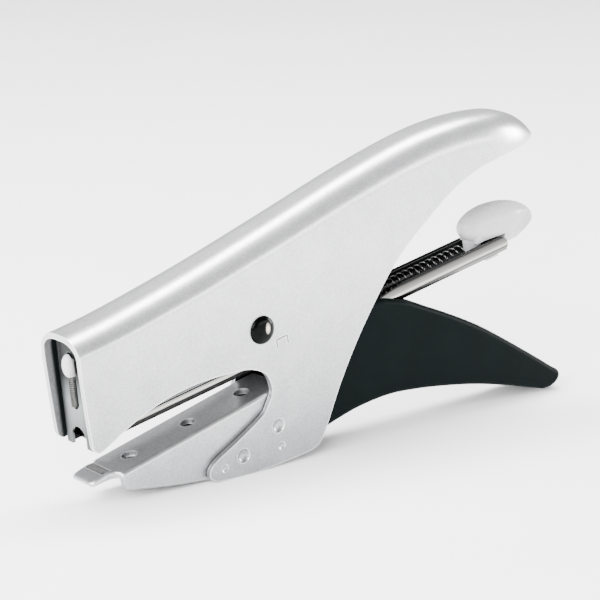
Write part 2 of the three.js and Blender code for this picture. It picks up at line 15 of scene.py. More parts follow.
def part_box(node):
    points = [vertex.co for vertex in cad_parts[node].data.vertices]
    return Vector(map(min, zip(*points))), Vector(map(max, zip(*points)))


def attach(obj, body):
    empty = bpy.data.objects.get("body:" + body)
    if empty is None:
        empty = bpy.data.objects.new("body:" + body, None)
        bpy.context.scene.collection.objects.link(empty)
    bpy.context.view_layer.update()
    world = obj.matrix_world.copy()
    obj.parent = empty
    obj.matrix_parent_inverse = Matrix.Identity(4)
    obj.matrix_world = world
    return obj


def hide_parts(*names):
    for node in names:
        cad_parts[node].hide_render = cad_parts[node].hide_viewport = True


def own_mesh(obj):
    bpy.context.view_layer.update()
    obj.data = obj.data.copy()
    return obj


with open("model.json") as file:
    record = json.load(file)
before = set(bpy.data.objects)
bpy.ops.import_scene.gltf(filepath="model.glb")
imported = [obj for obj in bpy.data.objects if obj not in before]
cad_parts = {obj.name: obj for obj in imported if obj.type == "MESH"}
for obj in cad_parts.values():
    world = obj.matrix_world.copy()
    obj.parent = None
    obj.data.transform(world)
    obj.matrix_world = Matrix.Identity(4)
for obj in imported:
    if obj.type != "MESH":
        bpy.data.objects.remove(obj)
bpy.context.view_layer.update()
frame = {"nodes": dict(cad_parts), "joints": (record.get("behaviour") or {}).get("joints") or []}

MM = 0.001


# ---------- places and sizes taken from the frame ----------
def joint(name):
    return next(j for j in frame["joints"] if j["name"] == name)


def box_mm(node):
    low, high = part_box(node)
    return low / MM, high / MM


PIVOT_Y, PIVOT_Z = [c / MM for c in joint("lever_pivot")["pos_m"][1:]]
BACK_AXIS = joint("loading_pull")["axis"]
DOWN_AXIS = joint("driver_slide")["axis"]
MAG_SLOPE = math.atan2(BACK_AXIS[2], BACK_AXIS[1])
PLATE_LEAN = math.atan2(DOWN_AXIS[1], -DOWN_AXIS[2])

RIVET_Y = -28  # the main rivet in the drawing whose lengths are used below
DATUM_Y = PIVOT_Y - RIVET_Y  # from that drawing to the frame
IN_PLACE = Matrix.Translation((0, DATUM_Y, 0))

SHELL_HALF = 8.3
SHELL_WALL = 1.35
INNER_HALF = SHELL_HALF - SHELL_WALL
NOSE_START = 46
NOSE_END = 68.9
LIP_START = 44  # where the rear edge turns into the handle's lower lip
HEAD_FRONT = -82.41
HEAD_LEAN = 0.12  # forward lean of the head's front edge, per unit height

MAG_HALF = 5
SHEET = 0.6
MAG_FRONT = -3.3
MAG_REAR = 131.7
CHEEK_START = -5.05
TAIL_ROUND = 2.4
WALL_TOP = 4.6
HANGER_TOP = 3
STAPLE_HALF = 4.1
STAPLE_FOOT = 1.9
STAPLE_TOP = 6.5
STICK_END = 36
TROUGH = (95, 131.4)
TROUGH_TOP = 4.45
SPRING_AXIS = 3.15
SPRING_SPAN = (45, 119.3)

PLATE_HEIGHT = 27.4
PLATE_THICK = 0.8
PLATE_HALF = 6.05
PLATE_ROUND = 3.4
FLANGE = 1.3
NOTCH = 3
BUTTON_Z = 20.8
SLOT = (9.7, 24.15)
SLOT_HALF = 1.65

channel_low = box_mm("magazine_channel")[0]
plate_low = box_mm("front_plate")[0]
MAG_ORIGIN = Vector((
    0,
    channel_low.y + HANGER_TOP * math.sin(MAG_SLOPE) - MAG_FRONT * math.cos(MAG_SLOPE),
    channel_low.z - MAG_FRONT * math.sin(MAG_SLOPE),
))
PLATE_ORIGIN = Vector((0, plate_low.y + PLATE_HEIGHT * math.sin(PLATE_LEAN), plate_low.z))
MAG_FRAME = Matrix.Translation(MAG_ORIGIN) @ Matrix.Rotation(MAG_SLOPE, 4, "X")
PLATE_FRAME = Matrix.Translation(PLATE_ORIGIN) @ Matrix.Rotation(PLATE_LEAN, 4, "X")


# ---------- curves ----------
def smooth_run(points, per=6):
    """Points on a smooth curve through the given ones, per of them for each span."""
    run = []
    for i in range(len(points) - 1):
        before = Vector(points[max(i - 1, 0)])
        start, end = Vector(points[i]), Vector(points[i + 1])
        after = Vector(points[min(i + 2, len(points) - 1)])
        for k in range(per):
            t = k / per
            leave, arrive = (end - before) / 2, (after - start) / 2
            run.append(
                start
                + leave * t
                + (3 * (end - start) - 2 * leave - arrive) * t ** 2
                + (2 * (start - end) + leave + arrive) * t ** 3
            )
    run.append(Vector(points[-1]))
    return [tuple(p) for p in run]


def height_at(run, y):
    """The height of a run of (y, z) points at one y."""
    for (y0, z0), (y1, z1) in zip(run, run[1:]):
        if y0 <= y <= y1:
            return z0 + (z1 - z0) * (y - y0) / max(y1 - y0, 1e-9)
    return run[0][1] if y < run[0][0] else run[-1][1]


def arc(y, z, radius, start, end, steps):
    """Points of a circle's arc, from one angle to another, in degrees."""
    angles = [math.radians(start + (end - start) * i / steps) for i in range(steps + 1)]
    return [(y + radius * math.cos(a), z + radius * math.sin(a)) for a in angles]


# ---------- mesh building ----------
def make_piece(name, points, faces, place=IN_PLACE):
    mesh = bpy.data.meshes.new(name)
    mesh.from_pydata([place @ Vector(p) * MM for p in points], [], faces)
    mesh.update()
    build = bmesh.new()
    build.from_mesh(mesh)
    bmesh.ops.recalc_face_normals(build, faces=build.faces)
    build.to_mesh(mesh)
    build.free()
    piece = bpy.data.objects.new(name, mesh)
    bpy.context.scene.collection.objects.link(piece)
    return piece


def prism(name, outline, low, high, axis="x", place=IN_PLACE):
    """A flat outline made solid along one axis. Its points are (y, z), (x, z) or (x, y)."""
    def corner(a, b, along):
        return {"x": (along, a, b), "y": (a, along, b), "z": (a, b, along)}[axis]

    size = len(outline)
    points = [corner(a, b, low) for a, b in outline] + [corner(a, b, high) for a, b in outline]
    faces = [list(range(size)), list(range(size, 2 * size))]
    for i in range(size):
        j = (i + 1) % size
        faces.append([i, j, size + j, size + i])
    return make_piece(name, points, faces, place)


def loft(name, rings, place=IN_PLACE):
    """Closed rings of equal length joined in order, with the first and last filled."""
    size = len(rings[0])
    points = [p for ring in rings for p in ring]
    faces = []
    for i in range(len(rings) - 1):
        for j in range(size):
            k = (j + 1) % size
            a, b = i * size, (i + 1) * size
            faces.append([a + j, a + k, b + k, b + j])
    last = (len(rings) - 1) * size
    faces += [list(range(size)), list(range(last, last + size))]
    return make_piece(name, points, faces, place)


def lathe_x(name, profile, y, z, sides=48, place=IN_PLACE):
    """A profile of (radius, x) points turned round an axis along X."""
    rings = []
    for radius, x in profile:
        turn = [2 * math.pi * i / sides for i in range(sides)]
        rings.append([(x, y + radius * math.cos(a), z + radius * math.sin(a)) for a in turn])
    return loft(name, rings, place)


def coil(name, radius_at, wire, turns, start, end, place, per_turn=20, sides=8):
    """A round wire wound round the line from start to end, which is square to X."""
    steps = round(turns * per_turn)
    along = Vector(end) - Vector(start)
    axis = along.normalized()
    first = Vector((1, 0, 0))
    second = axis.cross(first)
    rings = []
    for i in range(steps + 1):
        t = i / steps
        a = 2 * math.pi * turns * t
        out = first * math.cos(a) + second * math.sin(a)
        ahead = second * math.cos(a) - first * math.sin(a)
        centre = Vector(start) + along * t + out * radius_at(t)
        tangent = (ahead * radius_at(t) * 2 * math.pi * turns + along).normalized()
        side = tangent.cross(out)
        ring = []
        for k in range(sides):
            b = 2 * math.pi * k / sides
            ring.append(tuple(centre + (out * math.cos(b) + side * math.sin(b)) * wire / 2))
        rings.append(ring)
    return loft(name, rings, place)


def apply_modifiers(piece):
    graph = bpy.context.evaluated_depsgraph_get()
    mesh = bpy.data.meshes.new_from_object(piece.evaluated_get(graph))
    piece.modifiers.clear()
    piece.data = mesh


def boolean(piece, other, operation="DIFFERENCE"):
    """Cuts the other solid out of the piece, or joins it on, and removes the other."""
    step = piece.modifiers.new("boolean", "BOOLEAN")
    step.operation = operation
    step.solver = "EXACT"
    step.object = other
    apply_modifiers(piece)
    bpy.data.objects.remove(other)


def round_edges(piece, width, segments=3, angle=35):
    """Rounds the sharp edges, in the mesh itself."""
    step = piece.modifiers.new("bevel", "BEVEL")
    step.width = width * MM
    step.segments = segments
    step.limit_method = "ANGLE"
    step.angle_limit = math.radians(angle)
    step.use_clamp_overlap = True
    step.harden_normals = False
    apply_modifiers(piece)


def shade(piece, angle=40):
    """Smooth shading that keeps flat faces flat and corners over the angle crisp."""
    for face in piece.data.polygons:
        face.use_smooth = True
    piece.data.set_sharp_from_angle(angle=math.radians(angle))
    step = piece.modifiers.new("normals", "WEIGHTED_NORMAL")
    step.keep_sharp = True
    apply_modifiers(piece)


def finish_piece(piece, body, material, slot, *nodes):
    """Gives a made piece its material, its body and the CAD nodes that it stands for."""
    piece.data.materials.clear()
    piece.data.materials.append(material)
    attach(piece, body)
    if nodes:
        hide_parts(*nodes)
    return piece


# ---------- materials ----------
EDGE_REACH = 0.45  # how far in from an edge its edge colour reaches: wear, and on the paint a painted highlight
EDGE_SPAN = (0.03, 0.35)  # how far the eased normal is from the true one, at none and all of the edge colour
EDGE_MOST = 0.9
PAINT_RISE = (0.006, 0.052)  # heights in metres over which painted shade low down gives way to the paint's lit tones
INNER_FACE = (-0.0045, -0.002)  # x times the normal's x: the first is an inner face, the second isn't; inner faces get painted shade
HEAD_DEPTH = (-0.0733, -0.0725)  # where the painted shade on the inner faces starts, just behind the head's front


class Shader:
    """A principled material with its textures in object space, in metres."""

    def __init__(self, name, **inputs):
        self.material = bpy.data.materials.new(name)
        self.material.use_nodes = True
        self.tree = self.material.node_tree
        self.tree.nodes.clear()
        output = self.tree.nodes.new("ShaderNodeOutputMaterial")
        self.bsdf = self.tree.nodes.new("ShaderNodeBsdfPrincipled")
        self.tree.links.new(self.bsdf.outputs[0], output.inputs[0])
        for key, value in inputs.items():
            self.bsdf.inputs[key.replace("_", " ")].default_value = value
        self.place = self.tree.nodes.new("ShaderNodeTexCoord").outputs["Object"]

    def feed(self, target, value):
        """Links a socket to an input, or sets the input to a number, colour or vector."""
        if isinstance(value, bpy.types.NodeSocket):
            self.tree.links.new(value, target)
        elif target.type == "RGBA":
            target.default_value = (*value, 1)
        else:
            target.default_value = value

    def add(self, kind, **inputs):
        node = self.tree.nodes.new(kind)
        for key, value in inputs.items():
            self.feed(node.inputs[key.replace("_", " ")], value)
        return node

    def link(self, source, target):
        self.tree.links.new(source, self.bsdf.inputs[target])

    def stretched(self, scale):
        node = self.add("ShaderNodeMapping", Vector=self.place)
        node.inputs["Scale"].default_value = scale
        return node.outputs[0]

    def noise(self, size_mm, detail=3, vector=None):
        """Noise whose blobs are about size_mm across."""
        node = self.add("ShaderNodeTexNoise", Vector=vector or self.place,
                        Scale=1 / (size_mm * MM), Detail=detail)
        return node.outputs["Fac"]

    def cells(self, size_mm):
        """A random grey for each small cell, as flakes in a paint have."""
        node = self.add("ShaderNodeTexVoronoi", Vector=self.place, Scale=1 / (size_mm * MM))
        grey = self.add("ShaderNodeSeparateColor", Color=node.outputs["Color"])
        return grey.outputs[0]

    def spread(self, value, low, high, start=0.3, end=0.7):
        """The value from start to end spread over low to high, and held outside them."""
        node = self.add("ShaderNodeMapRange", Value=value, From_Min=start, From_Max=end,
                        To_Min=low, To_Max=high)
        return node.outputs[0]

    def mixed(self, factor, first, second, blend="MIX"):
        """A colour between two, each a colour or a socket, by a factor from 0 to 1."""
        node = self.tree.nodes.new("ShaderNodeMix")
        node.data_type = "RGBA"
        node.blend_type = blend
        self.feed(node.inputs["Factor"], factor)
        self.feed(node.inputs["A"], first)
        self.feed(node.inputs["B"], second)
        return node.outputs["Result"]

    def edge_wear_and_sheen(self, colour, edge_tone):
        """The colour with a second one where the surface turns sharply: edge wear, and on the paint
        also a painted highlight along the rims.
        """
        eased = self.add("ShaderNodeBevel", Radius=EDGE_REACH * MM)
        eased.samples = 4
        true_normal = self.add("ShaderNodeNewGeometry").outputs["Normal"]
        apart = self.vector_step("DISTANCE", eased.outputs[0], true_normal)
        edge = self.spread(apart.outputs["Value"], 0, EDGE_MOST, *EDGE_SPAN)
        return self.mixed(edge, colour, edge_tone)

    def bump(self, height, depth_mm, strength):
        node = self.add("ShaderNodeBump", Height=height, Distance=depth_mm * MM,
                        Strength=strength)
        self.link(node.outputs[0], "Normal")

    def ramp(self, value, stops):
        """A grey that follows (place, grey) stops."""
        node = self.add("ShaderNodeValToRGB", Fac=value)
        elements = node.color_ramp.elements
        while len(elements) < len(stops):
            elements.new(0.5)
        for element, (place, grey) in zip(elements, stops):
            element.position = place
            element.color = (grey, grey, grey, 1)
        return node.outputs["Color"]

    def step(self, operation, *values):
        """One step of arithmetic on sockets and numbers."""
        node = self.tree.nodes.new("ShaderNodeMath")
        node.operation = operation
        for target, value in zip(node.inputs, values):
            self.feed(target, value)
        return node.outputs[0]

    def vector_step(self, operation, *values):
        """One step of vector arithmetic: the node, since its result may be in either output."""
        node = self.tree.nodes.new("ShaderNodeVectorMath")
        node.operation = operation
        for target, value in zip(node.inputs, values):
            self.feed(target, value)
        return node

    def product(self, first, second):
        return self.step("MULTIPLY", first, second)

    def sum_of(self, first, second, share=1.0):
        """The first value and a share of the second."""
        return self.step("MULTIPLY_ADD", second, share, first)


def paint_material(name, shaded_tones, lit_tones, inside_shade=(0.02, 0.028, 0.028)):
    """Satin silver paint with fine flakes, and painted shade: greyer low down and dark on its inner
    faces.
    """
    shader = Shader(name, Metallic=0.85, Coat_Weight=0.1, Coat_Roughness=0.2)
    flakes = shader.cells(0.34)
    cloud = shader.noise(7, 2)
    grain = shader.sum_of(shader.spread(cloud, 0.1, 0.35), flakes, 0.6)
    place = shader.add("ShaderNodeSeparateXYZ", Vector=shader.place)
    # painted shade: the paint gets greyer tones low down and its lit tones higher up
    height = shader.spread(place.outputs["Z"], 0, 1, *PAINT_RISE)
    colour = shader.mixed(height, shader.mixed(grain, *shaded_tones),
                          shader.mixed(grain, *lit_tones))
    normal = shader.add("ShaderNodeNewGeometry").outputs["Normal"]
    facing = shader.add("ShaderNodeSeparateXYZ", Vector=normal)
    inward = shader.product(place.outputs["X"], facing.outputs["X"])
    behind = shader.sum_of(place.outputs["Y"], place.outputs["Z"], HEAD_LEAN)
    # painted shade: inner faces behind the head's front are given a dark colour in place of the paint
    deep = shader.product(shader.spread(inward, 1, 0, *INNER_FACE),
                          shader.spread(behind, 0, 1, *HEAD_DEPTH))
    # the near-white edge colour is edge wear and a painted highlight along the rims
    colour = shader.mixed(deep, shader.edge_wear_and_sheen(colour, (0.9, 0.9, 0.91)),
                          inside_shade)
    shader.link(colour, "Base Color")
    shader.link(shader.spread(shader.noise(0.5), 0.28, 0.36), "Roughness")
    peel = shader.sum_of(shader.noise(0.9, 2), flakes, 0.25)
    shader.bump(peel, 0.008, 0.6)
    return shader.material


def brushed_material(name, dark, light, rough=(0.22, 0.34), along="y", grain=0.08):
    """Bare or plated steel with fine lines along one axis and a few faint smears."""
    shader = Shader(name, Metallic=1.0)
    squeeze = {"x": (0.02, 1, 1), "y": (1, 0.02, 1), "z": (1, 1, 0.02)}[along]
    lines = shader.noise(grain, 2, shader.stretched(squeeze))
    smears = shader.noise(5, 4)
    tone = shader.sum_of(shader.spread(smears, 0, 0.5), shader.spread(lines, 0, 0.5))
    shader.link(shader.edge_wear_and_sheen(shader.mixed(tone, dark, light), light), "Base Color")
    shader.link(shader.spread(shader.sum_of(lines, smears, 0.5), *rough, 0.5, 1), "Roughness")
    shader.bump(lines, 0.004, 0.5)
    return shader.material


def moulded_material(name, dark, light, rough, shine, grain_mm=0.35, depth_mm=0.01, edge_tone=None):
    """Moulded plastic with a fine spark-eroded grain."""
    shader = Shader(name, Specular_IOR_Level=shine)
    cloud = shader.noise(9, 3)
    colour = shader.mixed(shader.spread(cloud, 0, 1), dark, light)
    if edge_tone:
        colour = shader.edge_wear_and_sheen(colour, edge_tone)
    shader.link(colour, "Base Color")
    fine = shader.noise(grain_mm, 3)
    shader.link(shader.spread(shader.sum_of(fine, cloud, 0.4), *rough, 0.4, 1), "Roughness")
    shader.bump(fine, depth_mm, 0.6)
    return shader.material


def white_material():
    """Soft gloss white moulding that lets a little light in."""
    shader = Shader("white_moulding", Subsurface_Weight=0.25, Subsurface_Scale=0.002,
                    Coat_Weight=0.2, Coat_Roughness=0.15)
    shader.bsdf.inputs["Subsurface Radius"].default_value = (1, 0.9, 0.8)
    cloud = shader.noise(6, 2)
    shader.link(shader.mixed(cloud, (0.42, 0.42, 0.44), (0.5, 0.5, 0.51)), "Base Color")
    shader.link(shader.spread(shader.noise(0.8), 0.24, 0.34), "Roughness")
    shader.bump(shader.noise(1.5, 2), 0.01, 0.4)
    return shader.material


def rivet_material():
    """Polished gunmetal, uneven in tone, with a painted highlight: a bright warm patch on each dome.
    """
    shader = Shader("rivet_steel", Metallic=1.0)
    cloud = shader.noise(1.2, 3)
    dark = shader.mixed(cloud, (0.002, 0.0025, 0.0025), (0.007, 0.0075, 0.007))
    # painted highlight: a warm bright oval patch right of each dome's centre
    patch_y, patch_z, flatten = PIVOT_Y + 1.0, PIVOT_Z + 0.5, 0.52
    moved = shader.vector_step("MULTIPLY_ADD", shader.place, (0, 1 / MM, flatten / MM),
                               (0, -patch_y, -flatten * patch_z))
    away = shader.vector_step("LENGTH", moved.outputs[0])
    highlight_mask = shader.spread(away.outputs["Value"], 1, 0, 0.25, 0.85)
    highlight_tone = shader.mixed(cloud, (0.7, 0.63, 0.53), (0.8, 0.73, 0.62))
    shader.link(shader.mixed(highlight_mask, dark, highlight_tone), "Base Color")
    shader.link(shader.spread(cloud, 0.16, 0.26), "Roughness")
    shader.bump(shader.noise(0.25, 2), 0.004, 0.4)
    return shader.material


def nickel_material():
    """Bright rolled strip with painted highlights and painted shade in bands along its length, and
    painted shade near the head.
    """
    shader = Shader("nickel", Metallic=1.0)
    place = shader.add("ShaderNodeSeparateXYZ", Vector=shader.place)
    up, along = math.cos(MAG_SLOPE), math.sin(MAG_SLOPE)
    foot = MAG_ORIGIN.z * up - MAG_ORIGIN.y * along
    # painted highlights and painted shade: light and dark bands up the walls stand for the strip's
    # reflections
    bands = ((foot + 0.15) * MM, (foot + 4.75) * MM)
    # painted shade: the strip is near-black close to the head
    head_shade_span = ((MAG_ORIGIN.y + 3) * MM, (MAG_ORIGIN.y + 8) * MM)
    height = shader.sum_of(shader.product(place.outputs["Z"], up), place.outputs["Y"], -along)
    lines = shader.noise(0.08, 2, shader.stretched((1, 0.02, 1)))
    waver = shader.sum_of(height, shader.noise(3, 2, shader.stretched((1, 0.2, 1))), 0.0003)
    level = shader.spread(waver, 0, 1, *bands)
    painted_bands = shader.ramp(level, [(0, 0.015), (0.08, 0.02), (0.17, 0.18), (0.26, 0.1), (0.35, 0.015),
                               (0.46, 0.5), (0.6, 0.18), (0.87, 0.08), (0.95, 0.02)])
    tint = shader.mixed(lines, (0.86, 0.84, 0.79), (1, 0.985, 0.95))
    head_shade = shader.mixed(lines, (0.003, 0.003, 0.003), (0.006, 0.006, 0.006))
    bright = shader.mixed(1, painted_bands, tint, "MULTIPLY")
    head = shader.spread(place.outputs["Y"], 1, 0, *head_shade_span)
    shader.link(shader.mixed(head, bright, head_shade), "Base Color")
    shader.link(shader.spread(lines, 0.14, 0.24), "Roughness")
    shader.bump(lines, 0.004, 0.5)
    return shader.material


def plate_material():
    """Tempered steel with painted shade: grey at its foot, dark towards its upper end and its sides.
    """
    shader = Shader("plate_steel", Metallic=1.0)
    place = shader.add("ShaderNodeSeparateXYZ", Vector=shader.place)
    lines = shader.noise(0.08, 2, shader.stretched((1, 1, 0.02)))
    uneven = shader.sum_of(place.outputs["Z"], shader.noise(4, 2), 0.003)
    # painted shade: the plate darkens up towards the crown and out to its sides
    grey_heights, shade_heights, flat_half, side_half = (0.019, 0.027), (0.0275, 0.034), 0.0015, 0.0053
    foot = shader.mixed(shader.spread(uneven, 0, 1, *grey_heights), (0.1, 0.11, 0.11),
                        (0.2, 0.22, 0.22))
    shade_tone = shader.mixed(lines, (0.002, 0.003, 0.003), (0.004, 0.006, 0.006))
    across = shader.product(place.outputs["X"], place.outputs["X"])
    sides = shader.spread(across, 0, 0.9, flat_half ** 2, side_half ** 2)
    colour = shader.mixed(shader.spread(uneven, 0, 1, *shade_heights), foot, shade_tone)
    colour = shader.mixed(sides, colour, shade_tone)
    shader.link(shader.edge_wear_and_sheen(colour, (0.12, 0.13, 0.13)), "Base Color")
    shader.link(shader.spread(lines, 0.16, 0.28), "Roughness")
    shader.bump(lines, 0.004, 0.4)
    return shader.material


# painted shade: the first pair of tones is used low down, the second pair higher up
PAINT = paint_material("body_paint", [(0.19, 0.195, 0.205), (0.34, 0.345, 0.355)],
                       [(0.46, 0.465, 0.48), (0.7, 0.705, 0.72)])
# the jaw's last colour is the painted shade on its inner faces
JAW_PAINT = paint_material("jaw_paint", [(0.23, 0.235, 0.25), (0.39, 0.395, 0.41)],
                           [(0.46, 0.465, 0.48), (0.7, 0.705, 0.72)], (0.3, 0.3, 0.31))
NICKEL = nickel_material()
PLATE_STEEL = plate_material()
STEEL = brushed_material("bare_steel", (0.05, 0.052, 0.053), (0.14, 0.143, 0.145))
WIRE = brushed_material("spring_wire", (0.05, 0.05, 0.05), (0.14, 0.14, 0.135), (0.2, 0.3))
ANVIL = brushed_material("anvil_steel", (0.3, 0.3, 0.3), (0.46, 0.46, 0.46), along="x")
STAPLE = brushed_material("staple_wire", (0.02, 0.02, 0.021), (0.07, 0.07, 0.07),
                          (0.2, 0.32), "x")
RIVET = rivet_material()
HANDLE = moulded_material("dark_moulding", (0.0003, 0.0016, 0.0016), (0.0006, 0.0026, 0.0026),
                          (0.4, 0.52), 0.03, edge_tone=(0.004, 0.008, 0.008))
BLACK = moulded_material("black_moulding", (0.003, 0.0035, 0.004), (0.006, 0.007, 0.008),
                         (0.22, 0.36), 0.15, 0.6, 0.006)
WHITE = white_material()


# ---------- body shell ----------
CROWN_LINE = smooth_run([
    (-88, 42.7), (-70, 46.8), (-46, 54), (-21.3, 62.5), (4.5, 71.7), (24, 77.6), (37, 80),
    (47, 80.6), (56, 80), (63, 77.2), (NOSE_END - 0.2, 72.4),
], 24)
LIP_LINE = smooth_run([(38, 64.7), (LIP_START, 67.4), (52, 69.3), (60, 70.6),
                       (NOSE_END + 0.5, 72.3)], 8)


def side_outline():
    """The side plate's edge from the head's front to the lip, by the mouth and the leg."""
    front = [(-81.8, 37), (-80.95, 31), (-80, 24.5), (-78.9, 18)]
    corner = smooth_run([(-78.9, 18), (-78.6, 16.7), (-77.9, 15.8), (-77, 15.4)], 3)
    mouth = smooth_run([
        (-77, 15.4), (-75.1, 16.1), (-70.5, 18.9), (-66.5, 21.1), (-58.8, 24.4), (-51.2, 26.4),
        (-43.5, 27.4), (-34, 27.6), (-30, 26.9), (-27, 25.3), (-25.4, 22.9), (-24.8, 20),
        (-25.9, 17.2), (-27.5, 14.7), (-32.1, 11.6), (-36.9, 8.7), (-42, 5.8), (-44.2, 3.5),
        (-44, 1.4), (-42, 0.3),
    ], 5)
    belly = [(-37, 0), (-31, 0)]
    leg = smooth_run([(-31, 0), (-22.7, 0.7), (-16, 1.5), (-11.7, 2.2), (-9.6, 3.3), (-8.2, 5.2),
                      (-6.6, 8.8)], 3)
    rear = smooth_run([(-6.6, 8.8), (-2.4, 18.7), (2.7, 28.4), (8.4, 37.4), (14.3, 45.5),
                       (20.6, 51.9), (31.6, 60.7), (38, 64.7), (LIP_START, 67.4)], 6)
    return front[:-1] + corner[:-1] + mouth + belly[:-1] + leg[:-1] + rear


def crown_stations():
    """Places along the crown, closer together round the nose."""
    straight = [HEAD_FRONT, -81, -79]
    straight += [-76 + 3.2 * i for i in range(38)]
    straight = [y for y in straight if y < LIP_START - 1.5]
    lip = [LIP_START, NOSE_START - 1]
    turn = [math.pi / 2 * (i / 22) * 0.985 for i in range(23)]
    nose = [NOSE_START + (NOSE_END - NOSE_START) * math.sin(a) for a in turn]
    return straight, lip + nose


def crown_section(y, inset, steps=9):
    """Half of the crown's section at y, from the middle to the shoulder: (x, y, z) points."""
    past = max(0, (y - NOSE_START) / (NOSE_END - NOSE_START))
    half = SHELL_HALF * math.sqrt(max(0, 1 - past ** 2))
    top = height_at(CROWN_LINE, y)
    deep = 5 + 3.4 * (y + 88) / (NOSE_END + 88)
    deep = min(deep, max(0.15, (top - height_at(LIP_LINE, y)) * 0.8)) if past else deep
    flat = half * 0.2
    width = half
    y_in = y
    if inset:
        width = half * INNER_HALF / SHELL_HALF
        y_in = y - inset * past ** 3
        top -= inset * (1 - past ** 6 * 0.7)
        deep = max(0.1, deep - inset * (1 - past ** 6 * 0.7))
        flat = width * 0.2
    lean = HEAD_LEAN * max(0, 1 - (y - HEAD_FRONT) / 25)
    points = []
    for i in range(steps + 1):
        a = math.pi / 2 * i / steps
        drop = deep * (1 - math.cos(a))
        points.append((flat + (width - flat) * math.sin(a), y_in + drop * lean, top - drop))
    return points


def shell_surface(inset, points, faces):
    """Adds the outer or inner surface, and returns its rim as vertex numbers in order."""
    straight, lip = crown_stations()
    outline = side_outline()
    x_side = SHELL_HALF - inset
    skirt_rows = 5

    def put(point):
        points.append(point)
        return len(points) - 1

    rings = []
    for y in straight + lip:
        half = crown_section(y, inset)
        if y in lip:
            x, y_edge, z_edge = half[-1]
            z_low = height_at(LIP_LINE, y)
            half += [(x, y_edge, z_edge + (z_low - z_edge) * k / skirt_rows)
                     for k in range(1, skirt_rows + 1)]
        right = [put(p) for p in half]
        left = [put((-x, y_edge, z)) for x, y_edge, z in half]
        rings.append((left, right))
    shoulder = len(rings[0][0]) - 1
    for (left0, right0), (left1, right1) in zip(rings, rings[1:]):
        for side0, side1 in ((left0, left1), (right0, right1)):
            for k in range(min(len(side0), len(side1)) - 1):
                faces.append([side0[k], side0[k + 1], side1[k + 1], side1[k]])
        faces.append([left0[0], right0[0], right1[0], left1[0]])
    left_end, right_end = rings[-1]
    faces.append(left_end[::-1] + right_end)
    first_lip = len(straight)
    rims = []
    for way, side in ((1, 1), (-1, 0)):
        edge = [put((way * x_side, y, z)) for y, z in outline[:-1]]
        top_line = [ring[side][shoulder] for ring in rings[:first_lip + 1]]
        skirt = rings[first_lip][side][shoulder + 1:]
        faces.append(top_line + skirt + edge[::-1])
        rims.append(edge + [ring[side][-1] for ring in rings[first_lip:]])
    left0, right0 = rings[0]
    return left0[::-1] + right0 + rims[0] + rims[1][::-1]


def dent_cutter(y, z, radius, depth, way):
    """A shallow ball cap that dents the leg's side."""
    ball = (radius ** 2 + depth ** 2) / (2 * depth)
    x = way * (SHELL_HALF + ball - depth)
    reach = math.asin(min(1, 1.6 * radius / ball))
    profile = [(ball * math.sin(reach * i / 8), x - way * ball * math.cos(reach * i / 8))
               for i in range(9)]
    profile[0] = (0.01, profile[0][1])
    profile.append((0.01, profile[-1][1]))
    return lathe_x("dent", profile, y, z, 32)


def staple_mark(way):
    """A plain engraved outline of a staple, as a thin cutter."""
    wide, tall, line, deep = 3.8, 2.3, 0.42, 0.5
    tilt = math.radians(14)
    corners = [(0, 0), (0, tall), (wide, tall), (wide, 0), (wide - line, 0),
               (wide - line, tall - line), (line, tall - line), (line, 0)]
    centre_y, centre_z = -23.2, 31.3
    turned = []
    for a, b in corners:
        y = centre_y + a * math.cos(tilt) - b * math.sin(tilt)
        z = centre_z + a * math.sin(tilt) + b * math.cos(tilt)
        turned.append((y, z))
    low, high = sorted((way * (SHELL_HALF - deep), way * (SHELL_HALF + 1)))
    return prism("mark", turned, low, high)


DENTS = [(-33.9, 5.3, 1.9, 0.85), (-22.9, 10.9, 1.9, 0.85), (-39.7, 3.3, 1.05, 0.4),
         (-21.8, 5.4, 1.05, 0.4)]


def body_shell():
    points, faces = [], []
    outer = shell_surface(0, points, faces)
    inner = shell_surface(SHELL_WALL, points, faces)
    for i in range(len(outer)):
        j = (i + 1) % len(outer)
        faces.append([outer[i], outer[j], inner[j], inner[i]])
    shell = make_piece("shell", points, faces)
    for way in (-1, 1):
        for y, z, radius, depth in DENTS:
            boolean(shell, dent_cutter(y, z, radius, depth, way))
    round_edges(shell, 0.45, 4, 28)
    boolean(shell, staple_mark(1))
    shade(shell, 50)
    return finish_piece(shell, "frame", PAINT, "body_paint", "body_shell")


# ---------- main rivet ----------
def main_rivet():
    low, high = box_mm("pivot_rivet")
    reach = high.x
    head_r = (high.y - low.y) / 2
    shaft_r, face, rim = 1.9, SHELL_HALF + 0.02, 0.1
    dome = []
    for i in range(11):
        a = math.pi / 2 * i / 10
        dome.append((max(0.02, head_r * math.cos(a)), face + rim + (reach - face - rim) * math.sin(a)))
    half = [(shaft_r, face), (head_r - 0.3, face), (head_r, face + 0.1), *dome]
    mirrored = [(r, -x) for r, x in reversed(half)]
    rivet = lathe_x("rivet", mirrored + half, RIVET_Y, PIVOT_Z)
    shade(rivet, 50)
    return finish_piece(rivet, "frame", RIVET, "rivet_steel", "pivot_rivet")


# ---------- lower jaw ----------
JAW_HALF = 6.6
JAW_SLOPE = 0.262
JAW_NOSE = -69.8
JAW_NOSE_Z = 7.8
JAW_BACK = -19.5
JAW_WALL = 1.4
JAW_HOLES = [-62.7, -45.1, -28.3]
TONGUE_TOP = 8.3
TONGUE_HALF = 4.5
ANVIL_Y = -72.1
ANVIL_LONG = 2.4
ANVIL_HALF = 3.6


def jaw_top(y):
    return JAW_NOSE_Z + JAW_SLOPE * (y - JAW_NOSE)


